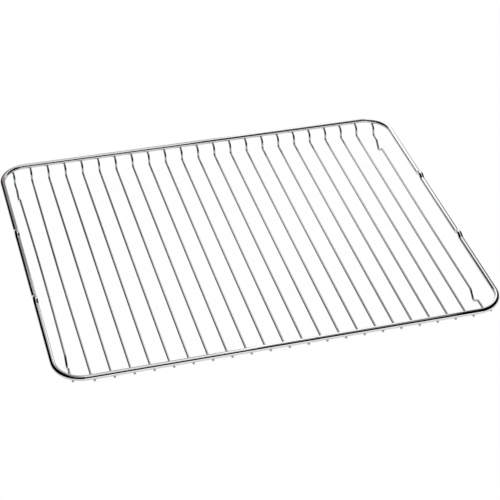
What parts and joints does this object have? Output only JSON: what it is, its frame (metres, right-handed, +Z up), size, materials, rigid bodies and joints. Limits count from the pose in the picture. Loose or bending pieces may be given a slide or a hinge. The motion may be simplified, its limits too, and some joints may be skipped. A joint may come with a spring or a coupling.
{
  "type": "cooling rack",
  "caption": "Rectangular welded wire rack with round corners: a high closed rim, parallel cross wires dropped to a tray level, wire feet and stop humps on its sides.",
  "frame": {"origin": "middle of the rack, on the surface that its feet stand on", "axes": "+X to the right along the long side, +Y towards the rear along the cross wires, +Z up"},
  "size_m": [0.466, 0.375, 0.0278],
  "materials": {
    "rim_wire": "bright chrome plate on steel wire",
    "cross_wire": "bright chrome plate on steel wire"
  },
  "bodies": {
    "root": {"rim_frame": "rim_wire", "left_foot_wire": "cross_wire", "cross_wire_02": "cross_wire", "cross_wire_03": "cross_wire", "cross_wire_04": "cross_wire", "cross_wire_05": "cross_wire", "cross_wire_06": "cross_wire", "cross_wire_07": "cross_wire", "cross_wire_08": "cross_wire", "cross_wire_09": "cross_wire", "cross_wire_10": "cross_wire", "cross_wire_11": "cross_wire", "cross_wire_12": "cross_wire", "cross_wire_13": "cross_wire", "cross_wire_14": "cross_wire", "cross_wire_15": "cross_wire", "cross_wire_16": "cross_wire", "cross_wire_17": "cross_wire", "cross_wire_18": "cross_wire", "cross_wire_19": "cross_wire", "cross_wire_20": "cross_wire", "cross_wire_21": "cross_wire", "cross_wire_22": "cross_wire", "right_foot_wire": "cross_wire"}
  },
  "joints": []
}
